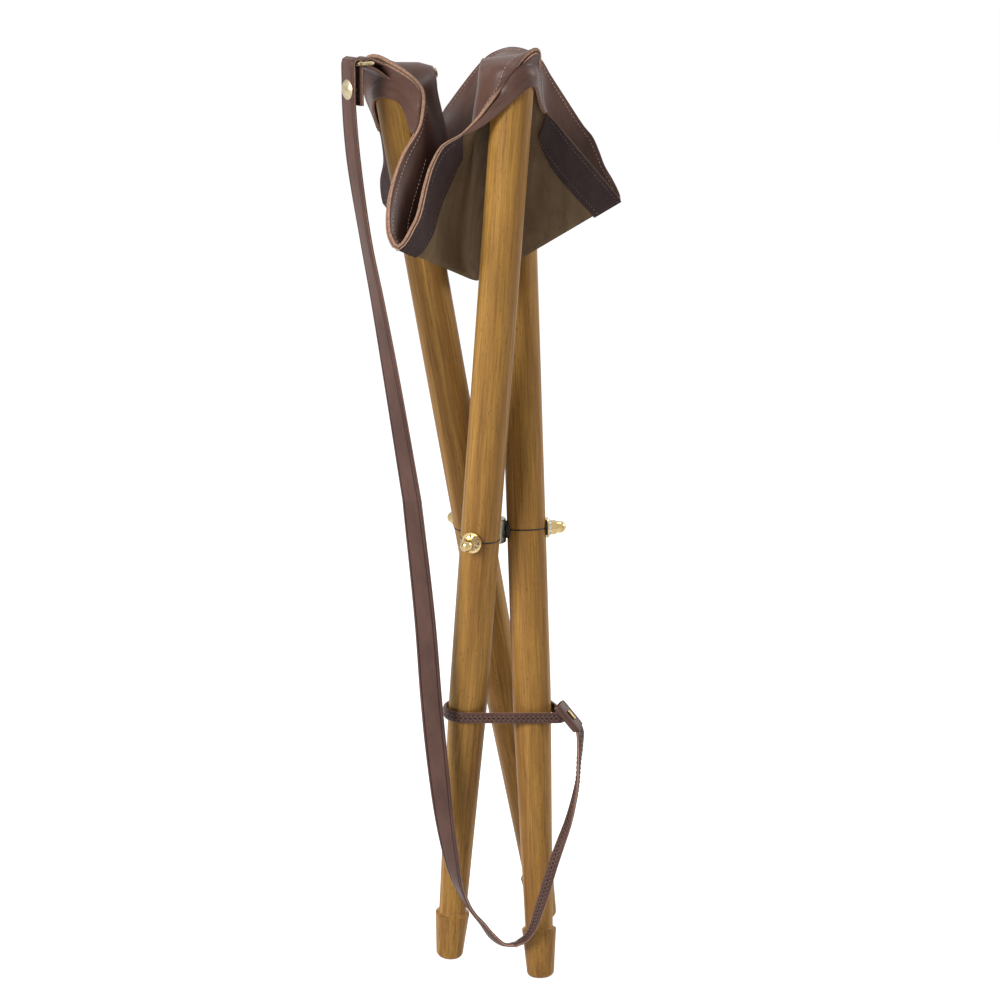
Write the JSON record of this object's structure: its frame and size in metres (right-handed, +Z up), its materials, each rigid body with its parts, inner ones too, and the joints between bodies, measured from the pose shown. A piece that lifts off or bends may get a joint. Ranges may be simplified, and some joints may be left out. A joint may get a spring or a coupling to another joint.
{
  "type": "walking stick seat",
  "caption": "Folding stool with turned wooden legs on a three-way bolt, a leather seat with corner pockets and a shoulder strap, shown folded and tied.",
  "frame": {"origin": "middle of the bounding box, on the floor that the three feet stand on", "axes": "+Z up; +X to the viewer's right and +Y away from the viewer, as pictured"},
  "size_m": [0.2048, 0.1936, 0.7155],
  "materials": {
    "wood": "oiled, satin",
    "black_wire": "dark, satin",
    "zinc": "dull zinc plate",
    "black_washer": "dull",
    "steel_washer": "plated",
    "brass": "polished",
    "antique_brass": "aged",
    "brown_leather": "smooth grain, suede inside",
    "dark_leather": "fine ribbed grain",
    "strap_leather": "waxed, satin"
  },
  "bodies": {
    "bolt": {"hub": "zinc", "stud_a": "zinc", "inner_washer_a": "black_washer", "outer_washer_a": "black_washer", "brass_washer_a": "brass", "lock_washer_a": "steel_washer", "cap_nut_a": "brass", "stud_b": "zinc", "inner_washer_b": "black_washer", "outer_washer_b": "black_washer", "brass_washer_b": "brass", "lock_washer_b": "steel_washer", "cap_nut_b": "brass", "stud_c": "zinc", "inner_washer_c": "black_washer", "outer_washer_c": "black_washer", "brass_washer_c": "brass", "lock_washer_c": "steel_washer", "cap_nut_c": "brass", "seat_panel": "brown_leather", "edge_strip_ab_a": "dark_leather", "edge_strip_ab_b": "dark_leather", "edge_strip_bc_b": "dark_leather", "edge_strip_bc_c": "dark_leather", "edge_strip_ca_c": "dark_leather", "edge_strip_ca_a": "dark_leather", "fold_strip_ab": "dark_leather", "fold_strip_bc": "dark_leather", "fold_strip_ca": "dark_leather", "tie_loop": "strap_leather", "strap_middle": "strap_leather", "strap_bend": "strap_leather"},
    "leg_a": {"leg_a": "wood", "binding_wire_a": "black_wire", "pocket_a": "brown_leather", "corner_stud_a": "brass"},
    "leg_b": {"leg_b": "wood", "binding_wire_b": "black_wire", "pocket_b": "brown_leather", "corner_stud_b": "brass", "strap_tail": "strap_leather", "keeper": "strap_leather", "keeper_staple": "brass"},
    "leg_c": {"leg_c": "wood", "binding_wire_c": "black_wire", "pocket_c": "brown_leather", "corner_stud_c": "brass", "ring_tab": "dark_leather", "carry_ring": "antique_brass", "shoulder_strap": "strap_leather", "snap_cap": "antique_brass", "snap_socket": "antique_brass"}
  },
  "joints": [
    {"name": "leg_a_fold", "type": "hinge", "parent": "bolt", "child": "leg_a", "pos_m": [-0.00328, -0.02285, 0.34912], "axis": [0.3831, 0.9236, -0.0145], "range_deg": [-2.3, 28.7], "deforming": ["seat_panel", "edge_strip_ab_a", "edge_strip_ca_a", "tie_loop"]},
    {"name": "leg_b_fold", "type": "hinge", "parent": "bolt", "child": "leg_b", "pos_m": [0.03232, 0.00444, 0.34901], "axis": [-0.9914, -0.1303, -0.0102], "range_deg": [-5.6, 25.3], "deforming": ["edge_strip_ab_b", "edge_strip_bc_b", "strap_tail"]},
    {"name": "leg_c_fold", "type": "hinge", "parent": "bolt", "child": "leg_c", "pos_m": [-0.00911, 0.02161, 0.3481], "axis": [0.6083, -0.7933, 0.0246], "range_deg": [-7.9, 23.1], "deforming": ["edge_strip_bc_c", "edge_strip_ca_c", "shoulder_strap", "ring_tab"]}
  ]
}
